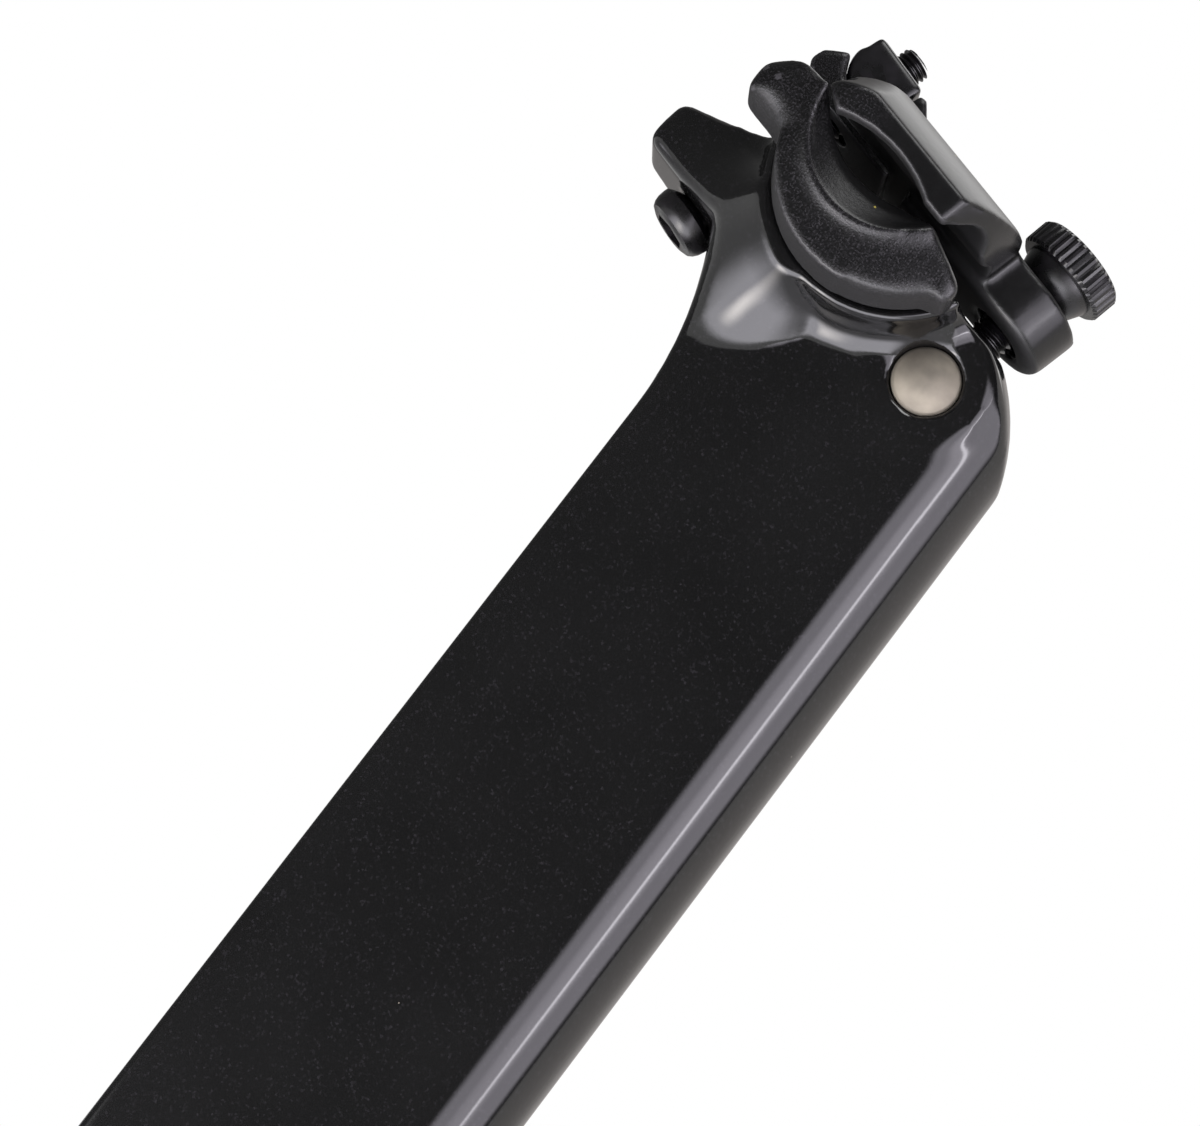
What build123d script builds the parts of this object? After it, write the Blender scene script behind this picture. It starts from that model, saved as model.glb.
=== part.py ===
from build123d import *
import os
from math import asin, atan2, cos, hypot, radians, sin, sqrt, tan

# An aero seatpost with a two-bolt saddle clamp, in millimetres.
# X points forward, Y to the left and Z up along the post, from the middle of its cut lower end.

# Shank: a hollow shell with a round nose and a cut-off tail
post_length = 350.0  # lower end to the tilt axis
post_chord = 46.4
post_thickness = 22.0
tail_width = 17.0
tail_corner_radius = 1.4
post_wall = 2.5
bore_below_pin = 21.0  # top of the hollow, below the front barrel nut's axis

# Clamp place and tilt at rest
setback = 12.0  # tilt axis behind the middle of the chord
rail_tilt = 15.0  # degrees that the rails slope down to the front
rail_radius = 3.5
rail_spacing = 44.0
rail_clearance = 0.05

# Post head: cradle seat, collar, flare, brow and rear lug
seat_radius = 16.2
collar_wall = 1.8
collar_half_width = 17.0
collar_rear_drop = 2.3  # top of the collar's rear end, below the tilt axis
flare_radius = 5.2
flare_margin = 1.0  # flat side kept round the flare's end
brow_radius = 29.0
brow_set_in = 27.8  # brow's centre behind the nose
brow_set_down = 13.3  # brow's centre below the front barrel nut's axis
pin_forward = 6.3  # front barrel nut's axis, ahead of the middle of the chord
pin_drop = 17.3  # front barrel nut's axis, below the tilt axis
pin_cover = 10.0  # head above the front barrel nut's axis
boss_radius = 9.2
boss_rise = 0.3  # boss face proud of the flat side
neck_drop = 43.3  # where the tail starts to sweep back, below the tilt axis
neck_radius = 54.0
lug_reach = 11.5  # lug's end behind the rear bolt's axis
lug_flare = 1.2  # how much further its top corner reaches
lug_seat = 20.5  # lug's underside below the clamp line, along the rear bolt
lug_thickness = 6.8
lug_corner_radius = 2.0
lug_root_radius = 3.0

# Front barrel nut and thumb bolt
pin_radius = 4.8
pin_clearance = 0.06
pin_dome_height = 1.4
pin_sink = 0.1  # dome's foot below the boss face
front_bolt_radius = 3.0
thread_clearance = 0.05
front_bolt_lean = 12.8  # degrees ahead of the post
front_bolt_tail = 8.0  # thread below the barrel nut's axis
front_hole_radius = 4.2
thumb_radius = 7.4
thumb_height = 4.2
thumb_edge_radius = 0.5
thumb_knurl_count = 38
thumb_knurl_depth = 0.34
thumb_socket_flats = 4.0
thumb_socket_depth = 3.0
flange_radius = 5.9
flange_foot_radius = 4.8
flange_height = 3.4
flange_gap = 0.5

# Rear bolt and its half nut
rear_bolt_back = 16.0  # axis behind the tilt axis, along the rails
rear_bolt_lean = 18.0  # degrees ahead of the post
rear_bolt_radius = 2.5
rear_bolt_reach = 17.75  # thread end above the clamp line, along the bolt
rear_hole_radius = 3.4
head_radius = 5.1
head_face_radius = 3.7
head_skirt = 0.6
head_height = 4.3
head_ball_radius = 7.0
head_seat_depth = 1.0
head_seat_gap = 0.1
head_socket_flats = 5.0
head_socket_depth = 2.6
head_pocket_radius = 6.2
half_nut_radius = 5.2
half_nut_half_width = 6.0
half_nut_rise = 11.3  # its turning axis above the clamp line
half_nut_top = 3.2  # its flat top above that axis
half_nut_shoulder = 0.4  # its top narrower than its belly, on each side
half_nut_edge_radius = 0.5
half_nut_gap = 0.1
half_nut_hole_clearance = 0.35

# Lower cradle, its side view given along the rails and square to them
cradle_gap = 0.15
cradle_floor = 4.4  # top of its middle below the rail line
cradle_end_gap = 0.3
cradle_overhang = 0.2  # each end of the cradle beyond the wing's edge
arm_belly_radius = 16.9
arm_rear = 22.7
arm_rear_foot = 9.2
arm_rear_shoulder = 5.0
arm_rear_top = 0.8
arm_front = 17.4
arm_front_foot = 7.8
arm_front_shoulder = 4.2
arm_front_top = 1.3
arm_corner_radius = 1.8
lip_rear = 13.0
lip_front = 5.2
lip_end = 1.8
lip_dip = 5.0
lip_edge = 3.6  # lip's outer edge in from the cradle's end
lip_middle = 3.0  # deepest point of the lip and its cove, behind the tilt axis
cove_ridge = 2.1  # cove's inner ridge in from the cradle's end
cove_ridge_radius = 13.9
cove_ridge_dip = 6.5
cove_end_radius = 11.5
cove_end_dip = 10.8
cove_overrun = 0.2
bolt_notch_half_width = 3.4
bolt_notch_front = 11.2  # notch's inner end behind the tilt axis

# Upper clamp
wing_half_width = 27.8
wing_rear = 15.6
wing_front = 15.8
wing_top = 9.5
wing_crown = 0.3
wing_shoulder = 12.0  # half width of the level top
wing_bend = 21.5
wing_bend_top = 7.5
wing_edge_top = 3.2
wing_floor = 2.2
wing_corner = 4.2
wing_straight = 8.4  # front end of its straight outer edge
wing_fall = 11.0  # length over which the top falls to its rear edge
wing_drop = 5.6  # height that it falls
wing_fall_lift = 0.6  # fall's front end above the top, so that it leaves no step
skirt_half_width = 23.0  # inner side of the skirt beyond each rail
skirt_arch = 0.45  # top of the skirt's arch above the rail line
skirt_rear_foot = 2.2
skirt_rear_toe = 11.4
skirt_front_foot = 0.9
skirt_front_heel = 5.4
skirt_front_toe = 8.6
skirt_rise = 2.5  # how far each foot's outer end slopes up
web_floor = 3.4
web_half_width = 16.0
ear_radius = 8.2
ear_floor = 1.6
ear_top = 9.6
ear_edge_radius = 1.8
tower_half_width = 7.0
tower_rear = 23.4
tower_floor = 2.0
tower_front_top = 13.4
tower_rear_top = 9.4
tower_wall = 1.2
tower_corner = 2.6
gusset_foot = 4.0  # front of the tower's slope behind the tilt axis

# Places worked out from the sizes above
cradle_half_width = wing_half_width + cradle_overhang
nose_x = post_chord / 2
tail_x = -post_chord / 2
nose_centre_x = nose_x - post_thickness / 2
tilt_x = -setback
lug_x = tilt_x - rear_bolt_back - lug_seat - lug_reach  # end of the section that the head is cut from
pin_z = post_length - pin_drop
neck_z = post_length - neck_drop
collar_radius = seat_radius + collar_wall
cradle_radius = seat_radius - cradle_gap
arm_start = collar_half_width + cradle_end_gap
rail_y = rail_spacing / 2
rail_groove_radius = rail_radius + rail_clearance
tail_depth = nose_centre_x - tail_x
side_taper = asin(post_thickness / 2 / hypot(tail_depth, tail_width / 2)) - atan2(tail_width / 2, tail_depth)

tilt_point = Vector(tilt_x, 0, post_length)
pin_point = Vector(pin_forward, 0, pin_z)
clamp_frame = Location(tilt_point, (0, rail_tilt, 0))
tilt_axis = Axis(tilt_point, (0, 1, 0))
rail_dir = Vector(cos(radians(rail_tilt)), 0, -sin(radians(rail_tilt)))

# Frames whose Z runs up each bolt, with X forward
front_frame = Location(pin_point, (0, front_bolt_lean, 0))
rear_frame = Location(tilt_point - rail_dir * rear_bolt_back, (0, rear_bolt_lean, 0))

# How far up the front bolt the ear's top face lies
pin_to_tilt = tilt_point - pin_point
clamp_up = Vector(sin(radians(rail_tilt)), 0, cos(radians(rail_tilt)))
bolt_up = Vector(sin(radians(front_bolt_lean)), 0, cos(radians(front_bolt_lean)))
ear_top_along_bolt = (ear_top + pin_to_tilt.dot(clamp_up)) / bolt_up.dot(clamp_up)
ear_along_rail = (bolt_up * ear_top_along_bolt - pin_to_tilt).dot(rail_dir)


def side_prism(curves, half_width):
    """Extrude a closed outline drawn in X and Z to both sides of the middle plane."""
    return extrude(Plane.XZ * make_face(curves), half_width, both=True)


def flat_point(vector):
    """Give a 3-D point as a point of an outline drawn in X and Z."""
    return (vector.X, vector.Z)


def round_bar(frame, radius, low, high):
    """Make a round bar along a frame's Z, from one height to another."""
    bar = Cylinder(radius, high - low, align=(Align.CENTER, Align.CENTER, Align.MIN))
    return frame * Pos(0, 0, low) * bar


def cross_bar(point, radius, half_width):
    """Make a round bar along Y, centred on a point."""
    return Pos(*point) * Rot(90, 0, 0) * Cylinder(radius, 2 * half_width)


def mirrored_pair(solid):
    """Give a solid and its mirror image on the other side of the middle plane."""
    return solid + mirror(solid, about=Plane.XZ)


def side_half(x, inset=0.0):
    """Give half the post's thickness at a place on its flat sides, or that of a shell inside it."""
    return (post_thickness / 2 - inset) / cos(side_taper) - (nose_centre_x - x) * tan(side_taper)


def post_outline(rear_x, inset=0.0):
    """Draw the shank's section, with a round nose and flat sides that run back to rear_x."""
    radius = post_thickness / 2 - inset
    side_start = (nose_centre_x - radius * sin(side_taper), radius * cos(side_taper))
    nose = ThreePointArc((side_start[0], -side_start[1]), (nose_centre_x + radius, 0), side_start)
    rear_half = side_half(rear_x, inset)
    side = Line(side_start, (rear_x, rear_half))
    end = Line((rear_x, rear_half), (rear_x, -rear_half))
    return make_face([nose, side, mirror(side, about=Plane.XZ), end])


def side_outline():
    """Draw the post's side view: head top, rear lug, swept neck and straight shank."""
    collar_rear = (tilt_x - collar_radius, post_length - collar_rear_drop)
    fall = (pin_z + pin_cover - collar_rear[1]) / (pin_forward - collar_rear[0])
    nose_top = (nose_x, pin_z + pin_cover + fall * (nose_x - pin_forward))
    lug_low = flat_point((rear_frame * Pos(-lug_reach, 0, -lug_seat)).position)
    lug_high = flat_point((rear_frame * Pos(-lug_reach - lug_flare, 0, lug_thickness - lug_seat)).position)

    # The neck's arc ends where it meets the lug's underside
    centre = Vector(tail_x - neck_radius, 0, neck_z)
    seat_point = (rear_frame * Pos(0, 0, -lug_seat)).position
    across = Vector(cos(radians(rear_bolt_lean)), 0, -sin(radians(rear_bolt_lean)))
    offset_in = seat_point - centre
    along = offset_in.dot(across)
    reach = sqrt(along**2 - offset_in.dot(offset_in) + neck_radius**2) - along
    meet = seat_point + across * reach
    sweep = atan2(meet.Z - neck_z, meet.X - centre.X) / 2
    middle = (centre.X + neck_radius * cos(sweep), neck_z + neck_radius * sin(sweep))
    neck = ThreePointArc((tail_x, neck_z), middle, flat_point(meet))

    face = make_face(
        [
            Line(nose_top, collar_rear),
            Line(collar_rear, lug_high),
            Line(lug_high, lug_low),
            Line(lug_low, flat_point(meet)),
            neck,
            Line((tail_x, neck_z), (tail_x, 0)),
            Line((tail_x, 0), (nose_x, 0)),
            Line((nose_x, 0), nose_top),
        ]
    )
    return fillet(face.vertices().sort_by(Axis.X)[:2], lug_corner_radius)


def on_tilt_circle(edge, radius):
    """Tell whether an edge keeps one distance from the tilt axis."""
    spots = [edge @ share for share in (0.0, 0.21, 0.5, 0.83)]
    return all(abs(sqrt((p.X - tilt_x) ** 2 + (p.Z - post_length) ** 2) - radius) < 0.01 for p in spots)


def along_rear_bolt(point):
    """Tell how far a point lies up the rear bolt from the clamp line."""
    return (rear_frame.inverse() * Pos(*point)).position.Z


def on_rear_rim(edge):
    """Tell whether an edge runs where a flat side meets the tail or the lug."""
    spots = [edge @ share for share in (0.3, 0.5, 0.8)]
    return all(abs(abs(p.Y) - side_half(p.X)) < 0.01 and p.X < tail_x + 0.01 for p in spots)


def make_pin_boss():
    """Round boss across the head for the front barrel nut, its faces along the flat sides."""
    rear_x = pin_forward - 2 * boss_radius
    front_x = pin_forward + 2 * boss_radius
    rear_half = side_half(rear_x) + boss_rise
    front_half = side_half(front_x) + boss_rise
    rear_ends = [(rear_x, rear_half), (rear_x, -rear_half)]
    front_ends = [(front_x, -front_half), (front_x, front_half)]
    wedge = make_face(Polyline(*rear_ends, *front_ends, close=True))
    return cross_bar(pin_point, boss_radius, post_thickness) & extrude(wedge, 2 * pin_z)


def make_collar(slab, side_view):
    """Round collar for the seat, with its root flared into the flat sides."""
    collar = slab + cross_bar(tilt_point, collar_radius, collar_half_width)
    roots = [
        edge
        for edge in collar.edges()
        if edge.geom_type != GeomType.LINE
        and on_tilt_circle(edge, collar_radius)
        and abs((edge @ 0.5).Y) < collar_half_width - 1.0
    ]
    collar = fillet(roots, flare_radius) & side_view
    return collar & cross_bar(tilt_point, collar_radius + flare_radius + flare_margin, 2 * collar_half_width)


def make_post_body():
    """Shell, head, collar and lug, moulded as one piece."""
    slab = extrude(post_outline(lug_x), post_length + collar_radius + 2 * flare_radius)
    side_view = extrude(Plane.XZ * side_outline(), 2 * collar_half_width, both=True)
    body = slab & side_view

    # Rounded corner under the lug, then the tail's edges from the cut end up round the lug
    inner_corner = [
        edge
        for edge in body.edges().filter_by(Axis.Y)
        if abs(along_rear_bolt(edge @ 0.5) + lug_seat) < 0.01
        and abs((edge @ 0.5).X - tilt_x) < collar_radius + 2.0
    ]
    body = fillet(inner_corner, lug_root_radius)
    body = fillet([edge for edge in body.edges() if on_rear_rim(edge)], tail_corner_radius)
    body = body + make_collar(slab, side_view) + make_pin_boss()

    # Domed brow in front of the collar
    brow_block = Pos(tilt_x + collar_radius, 0, pin_z - brow_set_down) * Box(
        post_chord, post_chord, post_chord, align=(Align.MIN, Align.CENTER, Align.MIN)
    )
    body -= brow_block - Pos(nose_x - brow_set_in, 0, pin_z - brow_set_down) * Sphere(brow_radius)

    # Seat, bore and holes
    body -= cross_bar(tilt_point, seat_radius, collar_half_width + 1.0)
    bore = post_outline(tail_x + post_wall, post_wall)
    bore = fillet(bore.vertices().group_by(Axis.X)[0], tail_corner_radius)
    body -= extrude(bore, pin_z - bore_below_pin)
    body -= cross_bar(pin_point, pin_radius + pin_clearance, post_thickness)
    body -= round_bar(front_frame, front_hole_radius, -bore_below_pin - 2.0, 2 * pin_cover)
    body -= round_bar(rear_frame, rear_hole_radius, -lug_seat - 1.0, rear_bolt_reach)
    body -= round_bar(rear_frame, head_pocket_radius, -lug_seat - neck_drop, -lug_seat)
    ball_z = head_seat_depth - lug_seat - head_ball_radius
    body -= rear_frame * Pos(0, 0, ball_z) * Sphere(head_ball_radius + head_seat_gap)
    return body


def make_lower_cradle():
    """Half-round block in the seat, with a trough for a rail on each end."""
    block = Rot(90, 0, 0) * Cylinder(cradle_radius, 2 * arm_start)
    block &= Pos(0, 0, -cradle_floor) * Box(
        4 * cradle_radius, 4 * arm_start, 4 * cradle_radius, align=(Align.CENTER, Align.CENTER, Align.MAX)
    )
    notch_align = (Align.MAX, Align.CENTER, Align.CENTER)
    notch = Box(2 * cradle_radius, 2 * bolt_notch_half_width, 4 * cradle_radius, align=notch_align)
    block -= Pos(-bolt_notch_front, 0, 0) * notch
    arm = make_cradle_arm()
    cradle = block + mirrored_pair(arm)
    for side in (-1, 1):
        groove = Pos(0, side * rail_y, 0) * Rot(0, 90, 0) * Cylinder(rail_groove_radius, 4 * arm_rear)
        cradle -= groove
    return clamp_frame * cradle


def make_cradle_arm():
    """One end of the cradle: a belly below, raised tips and a dipped lip between them."""
    belly_rear = (-sqrt(arm_belly_radius**2 - arm_rear_foot**2), -arm_rear_foot)
    belly_front = (sqrt(arm_belly_radius**2 - arm_front_foot**2), -arm_front_foot)
    belly = ThreePointArc(belly_rear, (0, -arm_belly_radius), belly_front)
    lip = ThreePointArc((-lip_rear, -lip_end), (-lip_middle, -lip_dip), (lip_front, -lip_end))
    front_run = Polyline(
        belly_front,
        (arm_front, -arm_front_foot),
        (arm_front, -arm_front_shoulder),
        (lip_front + 2.0, -arm_front_top),
        (lip_front, -lip_end),
    )
    rear_run = Polyline(
        (-lip_rear, -lip_end),
        (-lip_rear - 2.0, -arm_rear_top),
        (-arm_rear + 2.4, -arm_rear_top),
        (-arm_rear, -arm_rear_shoulder),
        (-arm_rear + 1.0, -arm_rear_foot),
        belly_rear,
    )
    face = make_face([belly, front_run, lip, rear_run])
    tips = [spot for spot in face.vertices() if spot.X > belly_front[0] + 0.1 or spot.X < belly_rear[0] - 2.5]
    face = fillet(tips, arm_corner_radius)
    arm = Pos(0, arm_start, 0) * extrude(Plane.XZ * face, -(cradle_half_width - arm_start))
    end_disc = cove_disc(-cove_overrun, cove_end_radius, cove_end_dip)
    ridge_disc = cove_disc(cove_ridge, cove_ridge_radius, cove_ridge_dip)
    lip_disc = cove_disc(lip_edge, cove_ridge_radius, lip_dip)
    return arm - loft([end_disc, ridge_disc]) - loft([ridge_disc, lip_disc])


def cove_disc(inset, radius, dip):
    """Give a disc across the cradle's end, its lowest point a dip below the rail line."""
    centre = (-lip_middle, cradle_half_width - inset, radius - dip)
    return Plane(centre, x_dir=(1, 0, 0), z_dir=(0, 1, 0)) * Circle(radius)


def make_upper_clamp():
    """Bar over both rails, with a rear tower for the half nut and a front ear for the thumb bolt."""
    corner_middle = (
        -wing_rear + wing_corner * (1 - cos(radians(45))),
        wing_half_width - wing_corner * (1 - sin(radians(45))),
    )
    rear_side = (-wing_rear, wing_half_width - wing_corner)
    rear_end = (-wing_rear + wing_corner, wing_half_width)
    front_end = (wing_straight, wing_half_width)
    front_middle = (wing_front - 2.4, wing_half_width - 6.3)
    half_plan = [
        Line((-wing_rear, 0), rear_side),
        ThreePointArc(rear_side, corner_middle, rear_end),
        Line(rear_end, front_end),
        ThreePointArc(front_end, front_middle, (wing_front, ear_radius)),
        Line((wing_front, ear_radius), (wing_front, 0)),
    ]
    plan = make_face(half_plan + [Line((wing_front, 0), (-wing_rear, 0))])
    plan += mirror(plan, about=Plane.XZ)
    blank = Pos(0, 0, -wing_top) * extrude(plan, 3 * wing_top)

    crown = (0, wing_top + wing_crown)
    shoulder = (wing_shoulder, wing_top)
    half_section = [
        ThreePointArc((-wing_shoulder, wing_top), crown, shoulder).trim(0.5, 1.0),
        ThreePointArc(shoulder, (wing_bend, wing_bend_top), (wing_half_width, wing_edge_top)),
        Line((wing_half_width, wing_edge_top), (wing_half_width, wing_floor)),
        Line((wing_half_width, wing_floor), (web_half_width, wing_floor)),
        Line((web_half_width, wing_floor), (web_half_width - 2.0, web_floor)),
        Line((web_half_width - 2.0, web_floor), (0, web_floor)),
    ]
    section = make_face(half_section + [mirror(curve, about=Plane.YZ) for curve in half_section])
    bar = extrude(Plane.YZ * section, 2 * (wing_rear + wing_front), both=True)
    bar = (bar + mirrored_pair(make_skirt())) & blank
    for waste in wing_rear_waste():
        bar -= waste
    clamp = bar + make_tower() + make_ear()
    for side in (-1, 1):
        clamp -= Pos(0, side * rail_y, 0) * Rot(0, 90, 0) * Cylinder(rail_groove_radius, 6 * wing_front)
    clamp = clamp_frame * clamp

    clamp -= clamp_trough()
    clamp -= round_bar(rear_frame, rear_hole_radius + 0.4, 0, rear_bolt_reach)
    clamp -= round_bar(front_frame, front_hole_radius, 0, 2 * ear_top_along_bolt)
    return clamp


def make_skirt():
    """Wall of the wing beyond a rail, arched between a rear and a front foot."""
    rear_heel = (-wing_rear - 1.0, skirt_rise - skirt_rear_foot)
    rear_toe = (-skirt_rear_toe, -skirt_rear_foot)
    front_heel = (skirt_front_heel, -skirt_front_foot)
    front_toe = (skirt_front_toe, -skirt_front_foot)
    front_end = (skirt_front_toe + skirt_rise, skirt_rise - skirt_front_foot)
    arch_middle = ((skirt_front_heel - skirt_rear_toe) / 2, skirt_arch)
    face = make_face(
        [
            Line(rear_heel, rear_toe),
            ThreePointArc(rear_toe, arch_middle, front_heel),
            Line(front_heel, front_toe),
            Line(front_toe, front_end),
            Polyline(front_end, (front_end[0], wing_edge_top), (rear_heel[0], wing_edge_top), rear_heel),
        ]
    )
    return Pos(0, skirt_half_width, 0) * extrude(Plane.XZ * face, skirt_half_width - wing_half_width)


def wing_rear_waste():
    """What the rounded rear end takes off the bar, in strips that follow its section."""
    rear = -wing_rear - 1.0
    front_top = (-wing_rear + wing_fall, wing_crown + wing_fall_lift)
    rear_low = (-wing_rear, wing_crown - wing_drop)
    middle = (-wing_rear + 0.26 * wing_fall, wing_crown - 0.34 * wing_drop)
    high = wing_top
    face = make_face(
        [
            ThreePointArc(rear_low, middle, front_top),
            Polyline(front_top, (front_top[0], high), (rear, high), (rear, rear_low[1]), rear_low),
        ]
    )
    face = Plane.XZ * face
    waste = [Pos(0, 0, wing_top) * extrude(face, wing_shoulder, both=True)]
    bends = [(wing_shoulder, wing_top), (wing_bend, wing_bend_top), (wing_half_width, wing_edge_top)]
    for (near, near_top), (far, far_top) in zip(bends, bends[1:]):
        run = Vector(0, far - near, far_top - near_top)
        strip = Pos(0, near, near_top) * extrude(face, run.length, dir=run)
        waste += [strip, mirror(strip, about=Plane.XZ)]
    return waste


def make_tower():
    """Rear tower of the upper clamp, in the clamp's own frame."""
    trough_x = -rear_bolt_back + half_nut_rise * tan(radians(rear_bolt_lean - rail_tilt))
    front_x = trough_x + half_nut_radius + half_nut_gap + tower_wall
    face = make_face(
        Polyline(
            (-gusset_foot, tower_floor),
            (-gusset_foot, wing_top),
            (front_x, tower_front_top),
            (trough_x, tower_front_top),
            (trough_x, tower_rear_top),
            (-tower_rear + tower_corner, tower_rear_top),
            (-tower_rear, tower_rear_top - tower_corner),
            (-tower_rear, tower_floor + tower_corner),
            (-tower_rear + tower_corner, tower_floor),
            close=True,
        )
    )
    return extrude(Plane.XZ * face, tower_half_width, both=True)


def make_ear():
    """Front ear of the upper clamp, in the clamp's own frame."""
    height = ear_top - ear_floor
    disc = Pos(ear_along_rail, 0, ear_floor) * Cylinder(
        ear_radius, height, align=(Align.CENTER, Align.CENTER, Align.MIN)
    )
    neck = Pos(0, 0, ear_floor) * Box(
        ear_along_rail, 2 * ear_radius, height, align=(Align.MIN, Align.CENTER, Align.MIN)
    )
    slope = Pos(0, 0, wing_top) * Box(
        wing_front - 2.0, 4 * ear_radius, height, align=(Align.MIN, Align.CENTER, Align.MIN)
    )
    ear = disc + (neck - slope)
    return fillet(ear.edges().group_by(Axis.Z)[0].filter_by(GeomType.CIRCLE), ear_edge_radius)


def clamp_trough():
    """Round-bottomed trough that the half nut turns in."""
    radius = half_nut_radius + half_nut_gap
    axis_frame = rear_frame * Pos(0, 0, half_nut_rise)
    trough = axis_frame * Rot(90, 0, 0) * Cylinder(radius, 4 * tower_half_width)
    mouth = axis_frame * Box(
        2 * radius, 4 * tower_half_width, 4 * half_nut_top, align=(Align.CENTER, Align.CENTER, Align.MIN)
    )
    return trough + mouth


def make_front_barrel_nut():
    """Cross pin with domed ends and a hole for the thumb bolt."""
    half = side_half(pin_forward) + boss_rise - pin_sink
    dome_radius = (pin_radius**2 + pin_dome_height**2) / (2 * pin_dome_height)
    tip = half + pin_dome_height
    middle_x = pin_radius / 2
    middle_y = tip - dome_radius + sqrt(dome_radius**2 - middle_x**2)
    dome = ThreePointArc((pin_radius, half), (middle_x, middle_y), (0, tip))
    wall = Line((pin_radius, -half), (pin_radius, half))
    core = Line((0, tip), (0, -tip))
    nut = front_frame * revolve(make_face([dome, mirror(dome, about=Plane.XZ), wall, core]), Axis.Y)
    return nut - round_bar(front_frame, front_bolt_radius + thread_clearance, -2 * pin_radius, 2 * pin_radius)


def make_front_thumb_bolt():
    """Bolt with a straight-knurled head that turns by hand or with a hex key."""
    flange_low = ear_top_along_bolt + flange_gap
    head_low = flange_low + flange_height
    head_top = head_low + thumb_height
    shank = round_bar(front_frame, front_bolt_radius, -front_bolt_tail, head_low)
    flange = front_frame * Pos(0, 0, flange_low) * Cone(
        flange_foot_radius, flange_radius, flange_height, align=(Align.CENTER, Align.CENTER, Align.MIN)
    )
    blank = Cylinder(thumb_radius, thumb_height, align=(Align.CENTER, Align.CENTER, Align.MIN))
    blank = fillet(blank.edges().filter_by(GeomType.CIRCLE), thumb_edge_radius)
    groove_radius = thumb_knurl_depth * 1.4
    grooves = PolarLocations(thumb_radius + groove_radius - thumb_knurl_depth, thumb_knurl_count)
    groove = Cylinder(groove_radius, thumb_height, align=(Align.CENTER, Align.CENTER, Align.MIN))
    blank -= [spot * groove for spot in grooves]
    socket = extrude(RegularPolygon(thumb_socket_flats / 2, 6, major_radius=False), thumb_socket_depth)
    blank -= Pos(0, 0, thumb_height - thumb_socket_depth) * socket
    return shank + flange + front_frame * Pos(0, 0, head_low) * blank


def make_rear_bolt():
    """Bolt from below the lug, with a ball-seated low head and a hex socket."""
    seat_z = head_seat_depth - lug_seat
    face_z = -lug_seat - head_height
    ball_z = seat_z - head_ball_radius
    skirt_z = ball_z + sqrt(head_ball_radius**2 - head_radius**2)
    profile = make_face(
        [
            Line((0, face_z), (head_face_radius, face_z)),
            ThreePointArc(
                (head_face_radius, face_z),
                ((head_face_radius + head_radius) / 2 + 0.3, (face_z + skirt_z - head_skirt) / 2 - 0.2),
                (head_radius, skirt_z - head_skirt),
            ),
            Line((head_radius, skirt_z - head_skirt), (head_radius, skirt_z)),
            ThreePointArc(
                (head_radius, skirt_z),
                (head_radius / 2, ball_z + sqrt(head_ball_radius**2 - head_radius**2 / 4)),
                (0, seat_z),
            ),
            Line((0, seat_z), (0, face_z)),
        ]
    )
    head = rear_frame * revolve(Plane.XZ * profile, Axis.Z)
    shank = round_bar(rear_frame, rear_bolt_radius, face_z + head_socket_depth + 0.5, rear_bolt_reach)
    socket = extrude(RegularPolygon(head_socket_flats / 2, 6, major_radius=False), head_socket_depth)
    return head + shank - rear_frame * Pos(0, 0, face_z) * socket


def make_rear_half_nut():
    """Nut with a round belly and a flat top, threaded for the rear bolt."""
    belly = Rot(90, 0, 0) * Cylinder(half_nut_radius, 2 * half_nut_half_width)
    on_floor = (Align.CENTER, Align.CENTER, Align.MIN)
    below_floor = (Align.CENTER, Align.CENTER, Align.MAX)
    width = 2 * half_nut_half_width
    block = Box(2 * (half_nut_radius - half_nut_shoulder), width, half_nut_top, align=on_floor)
    nut = belly & Box(4 * half_nut_radius, 2 * width, 2 * half_nut_radius, align=below_floor)
    nut += fillet(block.edges().group_by(Axis.Z)[-1], half_nut_edge_radius)
    nut = rear_frame * Pos(0, 0, half_nut_rise) * nut
    hole = rear_bolt_radius + half_nut_hole_clearance
    low = half_nut_rise - 2 * half_nut_radius
    return nut - round_bar(rear_frame, hole, low, half_nut_rise + 2 * half_nut_top)


pieces = {
    "post_body": make_post_body(),
    "lower_cradle": make_lower_cradle(),
    "upper_clamp": make_upper_clamp(),
    "front_barrel_nut": make_front_barrel_nut(),
    "front_thumb_bolt": make_front_thumb_bolt(),
    "rear_bolt": make_rear_bolt(),
    "rear_half_nut": make_rear_half_nut(),
}

os.makedirs("parts", exist_ok=True)
for name, piece in pieces.items():
    export_step(piece, f"parts/{name}.step")
    print(name, len(piece.solids()), round(piece.volume, 1))
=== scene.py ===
import logging
import math
from dataclasses import dataclass
from enum import Enum

import bpy
import numpy as np
from mathutils import Matrix, Vector


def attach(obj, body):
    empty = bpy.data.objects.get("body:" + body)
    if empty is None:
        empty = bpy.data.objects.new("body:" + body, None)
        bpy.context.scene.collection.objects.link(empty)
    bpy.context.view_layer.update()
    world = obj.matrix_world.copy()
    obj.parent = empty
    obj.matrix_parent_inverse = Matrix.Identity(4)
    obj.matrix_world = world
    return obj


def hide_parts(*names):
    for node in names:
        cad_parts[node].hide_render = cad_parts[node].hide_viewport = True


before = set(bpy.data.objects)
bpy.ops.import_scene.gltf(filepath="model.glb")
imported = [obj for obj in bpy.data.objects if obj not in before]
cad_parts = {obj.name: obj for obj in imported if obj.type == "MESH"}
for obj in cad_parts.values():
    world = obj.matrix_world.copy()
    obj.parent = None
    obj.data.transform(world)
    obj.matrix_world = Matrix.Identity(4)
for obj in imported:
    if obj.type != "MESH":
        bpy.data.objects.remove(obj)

LOG = logging.getLogger("seatpost")
MM = 0.001
BLACK, WHITE = "#000000", "#ffffff"
WELD = 0.002  # millimetres within which loose corners are joined
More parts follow.
